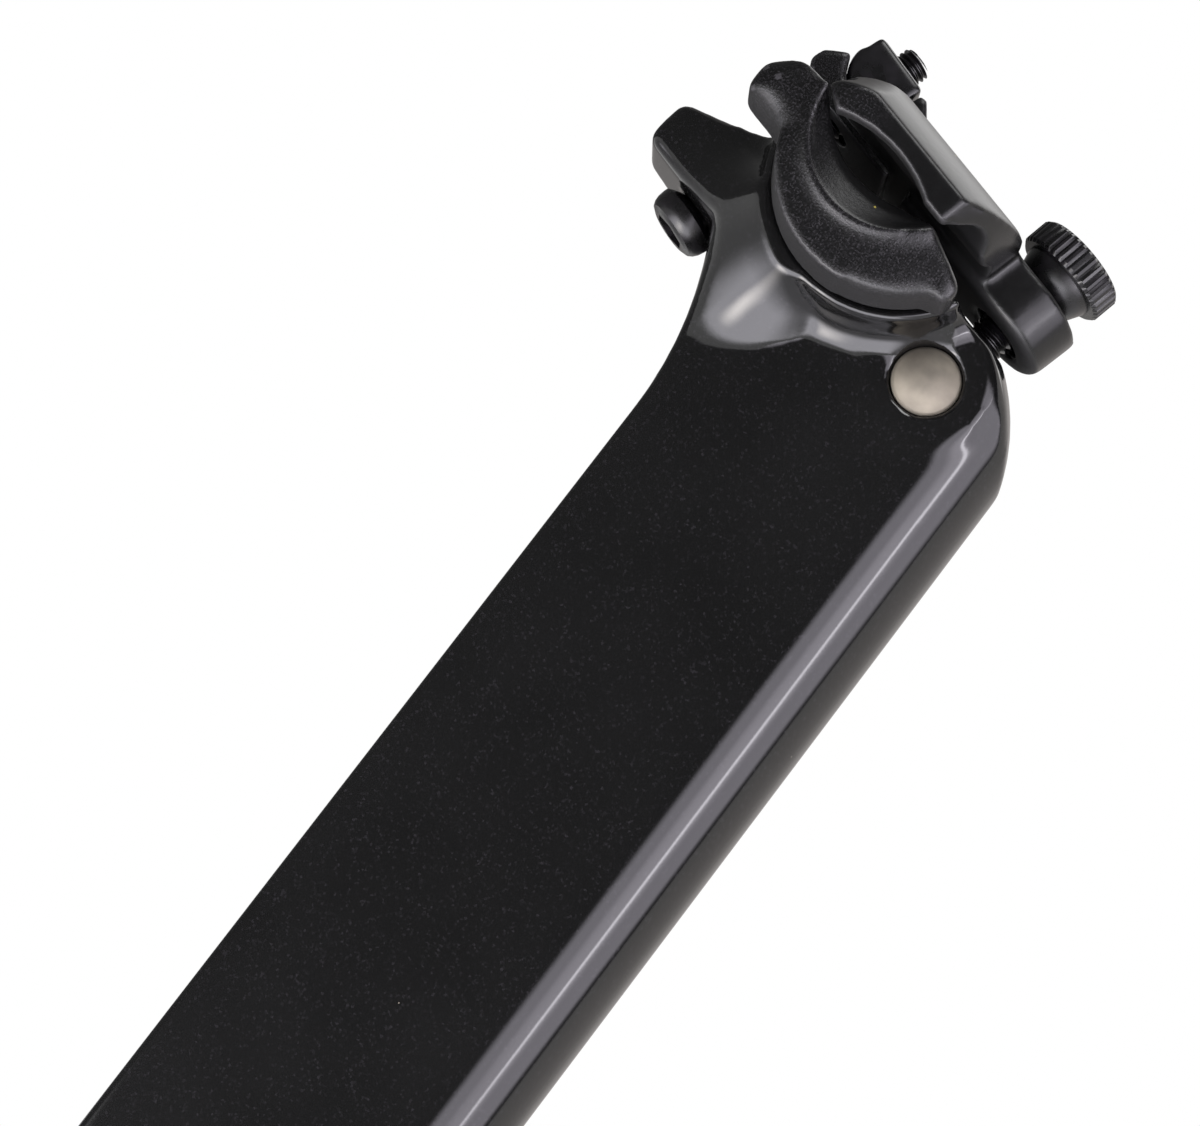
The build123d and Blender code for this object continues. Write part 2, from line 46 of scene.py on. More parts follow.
CREASE = 28.0  # degrees above which an edge of a turned piece stays sharp
ROUND_SIDES, BORE_SIDES = 96, 48
SMOOTHING = 0.5  # how far one round of smoothing moves a point
CLEAR = 1.0  # millimetres by which a cutting tool reaches past its piece
MIXED = 2  # place of the colour among a mix node's outputs

# Places shared with the solids, in millimetres and degrees
TILT_POINT = Vector((-12.0, 0.0, 350.0))
PIN_POINT = Vector((6.3, 0.0, 332.7))
RAIL_TILT = 15.0
FRONT_LEAN = 12.8
REAR_LEAN = 18.0
REAR_BACK = 16.0


class Body(Enum):
    """The moving bodies that pieces ride on."""

    POST = "post"
    CLAMP = "saddle_clamp"
    BARREL = "front_barrel"
    THUMB = "thumb_bolt"
    REAR_BOLT = "rear_bolt"
    REAR_NUT = "rear_nut"


class Slot(Enum):
    """The record's material slots."""

    CARBON = "gloss_black_carbon"
    CAST = "cast_black_aluminium"
    SATIN = "satin_steel"
    BLACK_STEEL = "black_steel"


class Shaping(Enum):
    """Ways in which a second shape changes a piece."""

    CUT = "DIFFERENCE"
    KEEP = "INTERSECT"
    ADD = "UNION"


class Kind(Enum):
    """Blender's names for the nodes in use."""

    BACKGROUND = "ShaderNodeBackground"
    BUMP = "ShaderNodeBump"
    CELLS = "ShaderNodeTexVoronoi"
    COORDINATE = "ShaderNodeTexCoord"
    EMISSION = "ShaderNodeEmission"
    GEOMETRY = "ShaderNodeNewGeometry"
    LIGHT_OUT = "ShaderNodeOutputLight"
    LIGHT_PATH = "ShaderNodeLightPath"
    MATERIAL_OUT = "ShaderNodeOutputMaterial"
    MATH = "ShaderNodeMath"
    MIX = "ShaderNodeMix"
    MIX_SHADER = "ShaderNodeMixShader"
    NOISE = "ShaderNodeTexNoise"
    PRINCIPLED = "ShaderNodeBsdfPrincipled"
    RAMP = "ShaderNodeValToRGB"
    RANGE = "ShaderNodeMapRange"
    SPLIT = "ShaderNodeSeparateXYZ"
    VECTOR_MATH = "ShaderNodeVectorMath"
    WORLD_OUT = "ShaderNodeOutputWorld"


def linear(code: str) -> tuple[float, float, float, float]:
    """Turn an sRGB hex colour into a linear one.

    Args:
        code: Six hex digits, with or without a leading hash.

    Returns:
        Red, green, blue and an alpha of one.
    """
    digits = code.lstrip("#")
    shares = [int(digits[i : i + 2], 16) / 255 for i in (0, 2, 4)]
    channels = [c / 12.92 if c <= 0.04045 else ((c + 0.055) / 1.055) ** 2.4 for c in shares]
    return (*channels, 1.0)


def add_node(
    tree: bpy.types.NodeTree,
    kind: Kind,
    links: dict | None = None,
    stops: list[tuple[float, str]] | None = None,
    **settings: object,
) -> bpy.types.Node:
    """Add a shader node with its settings, and link or set its inputs.

    Args:
        tree: The node tree to add to.
        kind: The kind of node.
        links: Input names or numbers, each with a socket to link or a value to set.
        stops: A colour ramp's places from 0 to 1, with their sRGB hex colours.
        settings: Attributes of the node itself.

    Returns:
        The new node.
    """
    node = tree.nodes.new(kind.value)
    for name, value in settings.items():
        setattr(node, name, value)
    for key, value in (links or {}).items():
        if isinstance(value, bpy.types.NodeSocket):
            tree.links.new(value, node.inputs[key])
        else:
            node.inputs[key].default_value = value
    for number, (place, code) in enumerate(stops or []):
        points = node.color_ramp.elements
        point = points[number] if number < len(points) else points.new(place)
        point.position = place
        point.color = linear(code)
    return node


def new_material(name: str) -> tuple[bpy.types.Material, bpy.types.NodeTree]:
    """Start a material with an empty tree.

    Args:
        name: The finish's name.

    Returns:
        The material and its node tree.
    """
    material = bpy.data.materials.new(name)
    material.use_nodes = True
    material.node_tree.nodes.clear()
    return material, material.node_tree


def close_material(tree: bpy.types.NodeTree, inputs: dict) -> None:
    """Add a material's principled shader and its output.

    Args:
        tree: The material's node tree.
        inputs: The shader's input names, each with a socket to link or a value to set.
    """
    shader = add_node(tree, Kind.PRINCIPLED, inputs)
    add_node(tree, Kind.MATERIAL_OUT, {"Surface": shader.outputs["BSDF"]})


def per_mm(size: float) -> float:
    """Give the texture scale whose cells are this many millimetres across."""
    return 1.0 / (size * MM)


@dataclass(frozen=True)
class GlossCarbon:
    """Black carbon composite under a gloss clear coat.

    The lacquer mirrors the studio in clean bands; the fine filler's glints are painted into its colour as
    lighter flecks.
    """

    deep: str = "#090909"
    pale: str = "#0e0e0e"
    # Colour of the lighter flecks painted in as the filler's glints: painted highlight
    painted_flake_glint: str = "#1d1c1e"
    dust: str = "#a49c8c"
    flake_mm: float = 0.3  # drawn coarser than the real filler, so that it shows
    cloud_mm: float = 26.0
    peel_mm: float = 3.2
    grit_mm: float = 0.35
    dust_mm: float = 9.0
    dust_size: tuple[float, float] = (0.010, 0.018)  # shares of dust_mm, core and rim of a speck
    relief: float = 0.05  # strength of both bumps
    peel_height: float = 0.05
    grit_height: float = 0.03
    gloss: float = 0.09  # the lacquer's roughness
    index: float = 1.54

    def material(self) -> bpy.types.Material:
        """Build the clear-coated carbon finish."""
        material, tree = new_material("gloss_clear_coated_carbon")
        place = add_node(tree, Kind.COORDINATE).outputs["Object"]
        cloud = add_node(tree, Kind.NOISE, {"Vector": place, "Scale": per_mm(self.cloud_mm), "Detail": 3.0})
        shades = [(0.35, self.deep), (0.7, self.pale)]
        base = add_node(tree, Kind.RAMP, {"Fac": cloud.outputs["Fac"]}, shades)
        # Lighter flecks painted into the colour stand for the filler's glints: painted highlight
        cell = add_node(tree, Kind.CELLS, {"Vector": place, "Scale": per_mm(self.flake_mm)})
        pick = add_node(tree, Kind.RAMP, {"Fac": cell.outputs["Color"]}, [(0.75, BLACK), (1.0, WHITE)])
        with_painted_glints = add_node(
            tree,
            Kind.MIX,
            {"Factor": pick.outputs["Color"], "A": base.outputs["Color"], "B": linear(self.painted_flake_glint)},
            data_type="RGBA",
        )
        speck = add_node(tree, Kind.CELLS, {"Vector": place, "Scale": per_mm(self.dust_mm)})
        core, rim = self.dust_size
        dot = add_node(tree, Kind.RAMP, {"Fac": speck.outputs["Distance"]}, [(core, WHITE), (rim, BLACK)])
        dusty = add_node(
            tree,
            Kind.MIX,
            {"Factor": dot.outputs["Color"], "A": with_painted_glints.outputs[MIXED], "B": linear(self.dust)},
            data_type="RGBA",
        )
        normal = None
        for size, height in ((self.peel_mm, self.peel_height), (self.grit_mm, self.grit_height)):
            noise = add_node(tree, Kind.NOISE, {"Vector": place, "Scale": per_mm(size), "Detail": 2.0})
            links = {"Height": noise.outputs["Fac"], "Strength": self.relief, "Distance": height * MM}
            if normal is not None:
                links["Normal"] = normal
            normal = add_node(tree, Kind.BUMP, links).outputs["Normal"]
        surface = {"Base Color": dusty.outputs[MIXED], "Normal": normal}
        close_material(tree, {**surface, "Roughness": self.gloss, "IOR": self.index})
        return material


@dataclass(frozen=True)
class CastBlack:
    """Black-coated cast aluminium, left rough from the mould.

    The grain carries painted glints, lighter specks that stand for its sparkle and are fewer on faces that
    look up, which are rubbed to an even satin; undersides stay dull. Sharp edges are painted lighter,
    partly wear and partly painted highlight.
    """

    name: str = "rough_cast_black_aluminium"
    deep: str = "#040404"
    worn: str = "#080808"
    # Colour of the lighter specks painted into the grain as its sparkle: painted glints
    painted_glint: str = "#2b2a2c"
    # Colour of sharp edges: partly edge wear, partly painted highlight
    edge: str = "#343335"
    fleck: str = "#8d8136"
    grain_mm: float = 0.26  # drawn a little coarser than the real grain, so that it shows
    grain_height: float = 0.035
    lump_mm: float = 1.5
    lump_height: float = 0.1
    lump_relief: float = 0.3  # strength of the lumps' bump
    fleck_mm: float = 6.5
    fleck_size: tuple[float, float] = (0.02, 0.035)  # shares of fleck_mm, core and rim of a fleck
    smooth_from: float = 90.0  # millimetres along X where the grain gives way to a smooth face
    smooth_over: float = 4.0
    satin: float = 0.4  # roughness of faces that look up
    sheen: float = 0.26  # roughness of upright faces, before their grain
    matt: float = 0.75  # roughness of undersides
    polish: float = 0.4  # specular level
    index: float = 1.52

    def material(self) -> bpy.types.Material:
        """Build the cast finish."""
        material, tree = new_material(self.name)
        spots = add_node(tree, Kind.COORDINATE)
        place = spots.outputs["Object"]
        up = add_node(tree, Kind.SPLIT, {0: spots.outputs["Normal"]}).outputs["Z"]
        ahead = add_node(tree, Kind.SPLIT, {0: place}).outputs["X"]
        facing_up = {"Value": up, "From Min": 0.3, "From Max": 0.65, "To Min": 1.0, "To Max": 0.12}
        rubbed = add_node(tree, Kind.RANGE, facing_up).outputs["Result"]
        milled = add_node(
            tree,
            Kind.RANGE,
            {
                "Value": ahead,
                "From Min": self.smooth_from * MM,
                "From Max": (self.smooth_from + self.smooth_over) * MM,
                "To Min": 1.0,
                "To Max": 0.1,
            },
        )
        coarse = add_node(tree, Kind.MATH, {0: rubbed, 1: milled.outputs["Result"]}, operation="MULTIPLY")
        grain = add_node(tree, Kind.NOISE, {"Vector": place, "Scale": per_mm(self.grain_mm), "Detail": 3.0})
        lump = add_node(tree, Kind.NOISE, {"Vector": place, "Scale": per_mm(self.lump_mm), "Detail": 2.0})
        shades = [(0.35, self.deep), (0.75, self.worn)]
        base = add_node(tree, Kind.RAMP, {"Fac": lump.outputs["Fac"]}, shades)
        sharp = add_node(tree, Kind.GEOMETRY).outputs["Pointiness"]
        # Sharp edges painted lighter: partly edge wear, partly painted highlight along ridges
        worn_and_highlit_edges = add_node(tree, Kind.RAMP, {"Fac": sharp}, [(0.515, BLACK), (0.575, WHITE)])
        # Lighter specks painted into the grain as its sparkle: painted glints, fewer on faces that look up
        painted_glint_specks = add_node(tree, Kind.RAMP, {"Fac": grain.outputs["Fac"]}, [(0.48, BLACK), (0.8, WHITE)])
        painted_glint_share = add_node(
            tree, Kind.MATH, {0: painted_glint_specks.outputs["Color"], 1: coarse.outputs[0]}, operation="MULTIPLY"
        )
        speck = add_node(tree, Kind.CELLS, {"Vector": place, "Scale": per_mm(self.fleck_mm)})
        core, rim = self.fleck_size
        dot = add_node(tree, Kind.RAMP, {"Fac": speck.outputs["Distance"]}, [(core, WHITE), (rim, BLACK)])
        colour = base.outputs["Color"]
        for share, tint in (
            (worn_and_highlit_edges.outputs["Color"], self.edge),
            (painted_glint_share.outputs[0], self.painted_glint),
            (dot.outputs["Color"], self.fleck),
        ):
            mixed = {"Factor": share, "A": colour, "B": linear(tint)}
            colour = add_node(tree, Kind.MIX, mixed, data_type="RGBA").outputs[MIXED]
        upright = {"Value": rubbed, "To Min": self.satin, "To Max": self.sheen}
        rough = add_node(tree, Kind.RANGE, upright).outputs["Result"]
        below = {"Value": up, "From Min": -0.7, "From Max": -0.3, "To Min": self.matt, "To Max": 0.0}
        dull = add_node(tree, Kind.RANGE, below).outputs["Result"]
        roughness = add_node(tree, Kind.MATH, {0: rough, 1: dull}, operation="MAXIMUM")
        lumps = {
            "Height": lump.outputs["Fac"],
            "Strength": self.lump_relief,
            "Distance": self.lump_height * MM,
        }
        grains = {
            "Height": grain.outputs["Fac"],
            "Strength": coarse.outputs[0],
            "Distance": self.grain_height * MM,
            "Normal": add_node(tree, Kind.BUMP, lumps).outputs["Normal"],
        }
        surface = {
            "Base Color": colour,
            "Roughness": roughness.outputs[0],
            "Normal": add_node(tree, Kind.BUMP, grains).outputs["Normal"],
        }
        close_material(tree, {**surface, "IOR": self.index, "Specular IOR Level": self.polish})
        return material


@dataclass(frozen=True)
class SatinSteel:
    """Stainless steel, bead-blasted to an even satin.

    It carries one broad soft highlight and darkens quickly at the rim.
    """

    pale: str = "#8d877b"
    dark: str = "#746f66"
    stain_mm: float = 4.0
    grit_mm: float = 0.25
    grit_height: float = 0.03
    relief: float = 0.15  # strength of the grit's bump
    satin: float = 0.66  # roughness

    def material(self) -> bpy.types.Material:
        """Build the satin steel finish."""
        material, tree = new_material("satin_blasted_steel")
        place = add_node(tree, Kind.COORDINATE).outputs["Object"]
        stain = add_node(tree, Kind.NOISE, {"Vector": place, "Scale": per_mm(self.stain_mm), "Detail": 3.0})
        grit = add_node(tree, Kind.NOISE, {"Vector": place, "Scale": per_mm(self.grit_mm), "Detail": 2.0})
        shades = [(0.3, self.dark), (0.7, self.pale)]
        base = add_node(tree, Kind.RAMP, {"Fac": stain.outputs["Fac"]}, shades)
        grits = {"Height": grit.outputs["Fac"], "Strength": self.relief, "Distance": self.grit_height * MM}
        bump = add_node(tree, Kind.BUMP, grits)
        surface = {"Base Color": base.outputs["Color"], "Normal": bump.outputs["Normal"]}
        close_material(tree, {**surface, "Metallic": 1.0, "Roughness": self.satin})
        return material


@dataclass(frozen=True)
class BlackOxide:
    """Steel with an oiled black oxide skin.

    It stays near black, with a low sheen and slightly violet rubbed smears at random.
    """

    deep: str = "#080808"
    rubbed: str = "#171518"
    smear_mm: float = 2.2
    grit_mm: float = 0.3
    grit_height: float = 0.03
    relief: float = 0.12  # strength of the grit's bump
    sheen: tuple[float, float] = (0.2, 0.36)  # roughness, oiled and dry
    polish: float = 0.36  # specular level
    index: float = 1.6

    def material(self) -> bpy.types.Material:
        """Build the black oxide finish."""
        material, tree = new_material("black_oxide_steel")
        place = add_node(tree, Kind.COORDINATE).outputs["Object"]
        smear = add_node(tree, Kind.NOISE, {"Vector": place, "Scale": per_mm(self.smear_mm), "Detail": 4.0})
        grit = add_node(tree, Kind.NOISE, {"Vector": place, "Scale": per_mm(self.grit_mm), "Detail": 2.0})
        shades = [(0.4, self.deep), (0.75, self.rubbed)]
        base = add_node(tree, Kind.RAMP, {"Fac": smear.outputs["Fac"]}, shades)
        oiled, dry = self.sheen
        rough = add_node(
            tree, Kind.RANGE, {"Value": smear.outputs["Fac"], "To Min": oiled, "To Max": dry}
        )
        grits = {"Height": grit.outputs["Fac"], "Strength": self.relief, "Distance": self.grit_height * MM}
        bump = add_node(tree, Kind.BUMP, grits)
        surface = {
            "Base Color": base.outputs["Color"],
            "Roughness": rough.outputs["Result"],
            "Normal": bump.outputs["Normal"],
        }
        close_material(tree, {**surface, "IOR": self.index, "Specular IOR Level": self.polish})
        return material


def pick_only(piece: bpy.types.Object) -> None:
    """Select one object alone and make it active."""
    bpy.ops.object.select_all(action="DESELECT")
    piece.select_set(True)
    bpy.context.view_layer.objects.active = piece


def apply_modifier(piece: bpy.types.Object, kind: str, **settings: object) -> None:
    """Add a modifier and apply it.

    Args:
        piece: The object to change.
        kind: Blender's name for the modifier type.
        settings: The modifier's attributes.
    """
    pick_only(piece)
    modifier = piece.modifiers.new(kind.title(), kind)
    for name, value in settings.items():
        setattr(modifier, name, value)
    bpy.ops.object.modifier_apply(modifier=modifier.name)


def combine(piece: bpy.types.Object, tool: bpy.types.Object, shaping: Shaping) -> None:
    """Cut, keep or add the shape of a second object, which is used up.

    Args:
        piece: The object to change.
        tool: The second object.
        shaping: What the second object does to the first.
    """
    apply_modifier(piece, "BOOLEAN", object=tool, operation=shaping.value, solver="EXACT")
    bpy.data.objects.remove(tool)


def merged_copy(node: str, name: str) -> bpy.types.Object:
    """Copy a solid's mesh as a new piece, with its loose triangles joined.

    Args:
        node: The solid's name.
        name: The new piece's name.

    Returns:
        The new piece.
    """
    piece = bpy.data.objects.new(name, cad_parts[node].data.copy())
    bpy.context.scene.collection.objects.link(piece)
    piece.data.materials.clear()
    pick_only(piece)
    bpy.ops.object.mode_set(mode="EDIT")
    bpy.ops.mesh.select_all(action="SELECT")
    bpy.ops.mesh.remove_doubles(threshold=WELD * MM)
    bpy.ops.mesh.customdata_custom_splitnormals_clear()
    bpy.ops.object.mode_set(mode="OBJECT")
    return piece


def even_out(piece: bpy.types.Object, voxel: float, soft_rounds: int) -> None:
    """Mesh a piece evenly and round its edges slightly.

    Args:
        piece: The piece to change.
        voxel: The mesh's spacing, in millimetres.
        soft_rounds: How many times it is smoothed.
    """
    apply_modifier(piece, "REMESH", mode="VOXEL", voxel_size=voxel * MM, use_smooth_shade=True)
    apply_modifier(piece, "SMOOTH", factor=SMOOTHING, iterations=soft_rounds)


def remeshed(node: str, name: str, voxel: float, soft_rounds: int) -> bpy.types.Object:
    """Copy a solid as an even mesh whose edges are slightly rounded.

    Args:
        node: The solid's name.
        name: The new piece's name.
        voxel: The mesh's spacing, in millimetres.
        soft_rounds: How many times it is smoothed.

    Returns:
        The new piece.
    """
    piece = merged_copy(node, name)
    even_out(piece, voxel, soft_rounds)
    return piece


def corners(piece: bpy.types.Object) -> np.ndarray:
    """Read a mesh's points as rows of X, Y and Z, in millimetres."""
    flat = np.zeros(len(piece.data.vertices) * 3)
    piece.data.vertices.foreach_get("co", flat)
    return flat.reshape(-1, 3) / MM


def set_corners(piece: bpy.types.Object, points: np.ndarray) -> None:
    """Write a mesh's points back, from millimetres."""
    piece.data.vertices.foreach_set("co", (points * MM).ravel())
    piece.data.update()


def eased(values: np.ndarray, ends: tuple[float, float]) -> np.ndarray:
    """Rise smoothly from 0 to 1 between two ends.

    Args:
        values: Where along the rise each point is.
        ends: The values at which it starts and stops.

    Returns:
        Each point's share.
    """
    share = np.interp(values, ends, (0.0, 1.0))
    return share**2 * (3 - 2 * share)


def soften(piece: bpy.types.Object, chosen: np.ndarray, rounds: int) -> None:
    """Smooth only some of a piece's points.

    Args:
        piece: The piece to change.
        chosen: Whether each point is smoothed.
        rounds: How many times.
    """
    group = piece.vertex_groups.new(name="soft")
    group.add(np.flatnonzero(chosen).tolist(), 1.0, "REPLACE")
    apply_modifier(piece, "SMOOTH", factor=SMOOTHING, iterations=rounds, vertex_group=group.name)
    piece.vertex_groups.clear()


def turned(name: str, rings: list[tuple[float, float]], sides: int) -> bpy.types.Object:
    """Turn a closed round shape up the Z axis, ring by ring.

    Args:
        name: The new piece's name.
        rings: Radius and height of each ring, in millimetres.
        sides: How many flats make the round.

    Returns:
        The new piece.
    """
    bpy.ops.object.select_all(action="DESELECT")
    radius, height = rings[0]
    bpy.ops.mesh.primitive_circle_add(
        vertices=sides, radius=radius * MM, fill_type="NGON", location=(0, 0, height * MM)
    )
    piece = bpy.context.active_object
    piece.name = name
    bpy.ops.object.transform_apply(location=True, rotation=True, scale=True)
    bpy.ops.object.mode_set(mode="EDIT")
    bpy.ops.mesh.select_all(action="SELECT")
    for next_radius, next_height in rings[1:]:
        lift = (0, 0, (next_height - height) * MM)
        bpy.ops.mesh.extrude_region_move(TRANSFORM_OT_translate={"value": lift})
        share = next_radius / radius
        bpy.ops.transform.resize(value=(share, share, 1), center_override=(0, 0, next_height * MM))
        radius, height = next_radius, next_height
    bpy.ops.mesh.select_all(action="SELECT")
    bpy.ops.mesh.normals_make_consistent(inside=False)
    bpy.ops.object.mode_set(mode="OBJECT")
    return piece


def hex_bit(flats: float, low: float, high: float) -> bpy.types.Object:
    """Make a hexagonal bar along Z that cuts a key socket.

    Args:
        flats: Width across its flats, in millimetres.
        low: Its lower end.
        high: Its upper end.

    Returns:
        The bar.
    """
    radius = flats / math.sqrt(3)
    return turned("hex_bit", [(radius, low), (radius, high)], 6)


@dataclass(frozen=True)
class Thread:
    """A screw thread's size, in millimetres."""

    radius: float
    pitch: float
    depth: float
    steps: int = 28
    weld: float = 0.005
    lead_in: float = 1.5  # turns below the lower end, which are cut off again
    spare_turns: int = 3  # turns beyond the rod's length
    root_flat: float = 0.12  # share of the pitch
    crest: tuple[float, float] = (0.5, 0.62)  # shares of the pitch where the crest starts and stops

    def rod(self, low: float, high: float) -> bpy.types.Object:
        """Make a threaded rod along Z with a chamfered upper end.

        Args:
            low: Its lower end.
            high: Its upper end.

        Returns:
            The rod.
        """
        turns = math.ceil((high - low) / self.pitch) + self.spare_turns
        root = self.radius - self.depth
        flank = [
            (root, 0.0),
            (root, self.root_flat),
            (self.radius, self.crest[0]),
            (self.radius, self.crest[1]),
            (root, 1.0),
        ]
        bpy.ops.object.select_all(action="DESELECT")
        bpy.ops.mesh.primitive_plane_add(size=MM)
        rod = bpy.context.active_object
        rod.name = "threaded_rod"
        bpy.ops.object.mode_set(mode="EDIT")
        bpy.ops.mesh.select_all(action="SELECT")
        bpy.ops.mesh.merge(type="CENTER")
        start = low - self.lead_in * self.pitch
        bpy.ops.transform.translate(value=(root * MM, 0, start * MM))
        for (radius, share), (next_radius, next_share) in zip(flank, flank[1:]):
            move = ((next_radius - radius) * MM, 0, (next_share - share) * self.pitch * MM)
            bpy.ops.mesh.extrude_region_move(TRANSFORM_OT_translate={"value": move})
        bpy.ops.object.mode_set(mode="OBJECT")
        apply_modifier(
            rod,
            "SCREW",
            axis="Z",
            steps=self.steps,
            render_steps=self.steps,
            iterations=turns,
            screw_offset=self.pitch * MM,
            use_merge_vertices=False,
        )
        bpy.ops.object.mode_set(mode="EDIT")
        bpy.ops.mesh.select_all(action="SELECT")
        bpy.ops.mesh.remove_doubles(threshold=self.weld * MM)
        for height, clear_inner in ((low, True), (high, False)):
            bpy.ops.mesh.select_all(action="SELECT")
            bpy.ops.mesh.bisect(
                plane_co=(0, 0, height * MM),
                plane_no=(0, 0, 1),
                use_fill=True,
                clear_inner=clear_inner,
                clear_outer=not clear_inner,
            )
        bpy.ops.mesh.select_all(action="SELECT")
        bpy.ops.mesh.normals_make_consistent(inside=False)
        bpy.ops.object.mode_set(mode="OBJECT")
        over = self.radius + CLEAR
        sleeve = turned(
            "chamfer_sleeve",
            [(over, low - CLEAR), (over, high - self.depth - CLEAR), (root, high)],
            BORE_SIDES,
        )
        combine(rod, sleeve, Shaping.KEEP)
        return rod


def stand(piece: bpy.types.Object, origin: Vector, lean: float) -> None:
    """Lean a piece forwards, put it in place and keep its object at the origin.

    Args:
        piece: A piece made along Z.
        origin: Where its zero goes, in millimetres.
        lean: Degrees from Z towards X.
    """
    pick_only(piece)
    piece.matrix_world = Matrix.Translation(origin * MM) @ Matrix.Rotation(math.radians(lean), 4, "Y")
    bpy.ops.object.transform_apply(location=True, rotation=True, scale=True)


def shade(piece: bpy.types.Object, angle: float) -> None:
    """Shade a piece smooth across edges that are flatter than an angle in degrees."""
    pick_only(piece)
    bpy.ops.object.shade_smooth_by_angle(angle=math.radians(angle))


def dress(piece: bpy.types.Object, finish: bpy.types.Material, body: Body, node: str) -> None:
    """Give a piece its finish, put it on its body and let it stand for its solid.

    Args:
        piece: The finished piece.
        finish: Its material.
        body: The body that it rides on.
        node: The solid that it replaces.
    """
    piece.data.materials.clear()
    piece.data.materials.append(finish)
    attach(piece, body.value)
    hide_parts(node)
    piece.data.calc_loop_triangles()
    LOG.info("%s: %d triangles on %s", piece.name, len(piece.data.loop_triangles), body.value)


@dataclass
class PostShell:
    """The moulded post: shank, head, collar and lug in one smooth skin."""

    voxel: float = 0.46
    shank_top: float = 285.0  # below this the section is the same all the way down
    end_zone: float = 5.0  # kept at full length, so that the cut end stays crisp
    squeeze: float = 40.0  # how much shorter the even shank is while it is meshed
    soft_rounds: int = 5
    nose_centre: float = 12.2
    half_thickness: float = 11.0
    side_taper: float = 4.085  # degrees
    collar_radius: float = 18.0
    collar_half_width: float = 17.0
    flare_width: float = 16.2
    flare_narrow: float = 2.8  # its width in front
    flare_turns: tuple[float, float] = (-22.0, 14.0)  # degrees forward of straight down, wide to narrow
    flare_fade: tuple[float, float] = (-82.0, -52.0)  # degrees where it dies out at the back
    flare_slopes: tuple[float, float] = (10.0, 47.0)  # degrees at its edge and at the collar
    ripple: float = 0.045  # height of the hand-laid skin's waves on the flare
    ripple_pitch: float = 6.5
    ripple_skews: tuple[float, float] = (0.35, 0.4)  # how far its two sets of waves lean
    ripple_stretch: float = 0.6
    collar_edge: float = 0.3  # how far in from the collar's round the flare begins
    skin: float = 1.6  # depth below the flat side that the flare lifts
    boss_start: float = 5.7  # radius round the pin where the boss begins to soften
    boss_ends: tuple[float, ...] = (11.0, 13.0, 15.0, 17.0, 19.0)  # radii out to which it is softened
    boss_depth: float = 7.0
    boss_rounds: int = 10

    def squeezed(self, height: np.ndarray, back: bool) -> np.ndarray:
        """Shorten the even part of the shank, or draw it out again.

        Args:
            height: Heights along the post, in millimetres.
            back: Whether to draw the shank out again.

        Returns:
            The new heights.
        """
        full = [0.0, self.end_zone, self.shank_top, 2 * self.shank_top]
        short_top = self.end_zone + (self.shank_top - self.end_zone) / self.squeeze
        short = [0.0, self.end_zone, short_top, short_top + self.shank_top]
        return np.interp(height, short, full) if back else np.interp(height, full, short)

    def flared(self, points: np.ndarray) -> np.ndarray:
        """Widen the collar's root into a long hollow flare on both flat sides.

        Args:
            points: The skin's points, in millimetres.

        Returns:
            The points with the flare lifted.
        """
        ahead = points[:, 0] - TILT_POINT.x
        above = points[:, 2] - TILT_POINT.z
        reach = np.hypot(ahead, above)
        turn = np.degrees(np.arctan2(ahead, -above))
        width = self.flare_width + (self.flare_narrow - self.flare_width) * eased(turn, self.flare_turns)
        share = np.clip((self.collar_radius + width - reach) / width, 0.0, 1.0)
        edge, root = np.radians(self.flare_slopes)
        angle = edge + (root - edge) * share
        rise = width / (root - edge) * (math.log(math.cos(edge)) - np.log(np.cos(angle)))
        rise *= eased(turn, self.flare_fade)
        wave = math.tau / self.ripple_pitch
        lean, cross_lean = self.ripple_skews
        rings = np.sin(wave * (reach + lean * ahead))
        cross = np.cos(self.ripple_stretch * wave * (ahead - cross_lean * reach))
        rise += self.ripple * share * rings * cross
        taper = math.radians(self.side_taper)
        side = self.half_thickness / math.cos(taper) - (self.nose_centre - points[:, 0]) * math.tan(taper)
        depth = np.abs(points[:, 1])
        near = np.clip((depth - (side - self.skin)) / self.skin, 0.0, 1.0)
        lifted = np.minimum(self.collar_half_width, np.minimum(depth, side) + rise * near)
        on_flare = (reach > self.collar_radius - self.collar_edge) & (share > 0.0) & (above < 0.0)
        result = points.copy()
        result[:, 1] = np.sign(points[:, 1]) * np.where(on_flare, np.maximum(depth, lifted), depth)
        return result

    def remesh(self, piece: bpy.types.Object) -> None:
        """Mesh the post evenly, with the long shank drawn in meanwhile."""
        points = corners(piece)
        points[:, 2] = self.squeezed(points[:, 2], back=False)
        set_corners(piece, points)
        even_out(piece, self.voxel, self.soft_rounds)
        points = corners(piece)
        points[:, 2] = self.squeezed(points[:, 2], back=True)
        set_corners(piece, points)

    def build(self) -> bpy.types.Object:
        """Mesh the post, lift its flare and even the mesh again."""
        piece = merged_copy("post_body", "post_shell")
        self.remesh(piece)
        set_corners(piece, self.flared(corners(piece)))
        self.remesh(piece)
        points = corners(piece)
        reach = np.hypot(points[:, 0] - PIN_POINT.x, points[:, 2] - PIN_POINT.z)
        on_boss = (reach > self.boss_start) & (np.abs(points[:, 1]) > self.boss_depth)
        for end in self.boss_ends:
            soften(piece, on_boss & (reach < end), self.boss_rounds)
        return piece

    def dress(self, finish: bpy.types.Material) -> None:
        """Build the shell and give it its finish."""
        dress(self.build(), finish, Body.POST, "post_body")


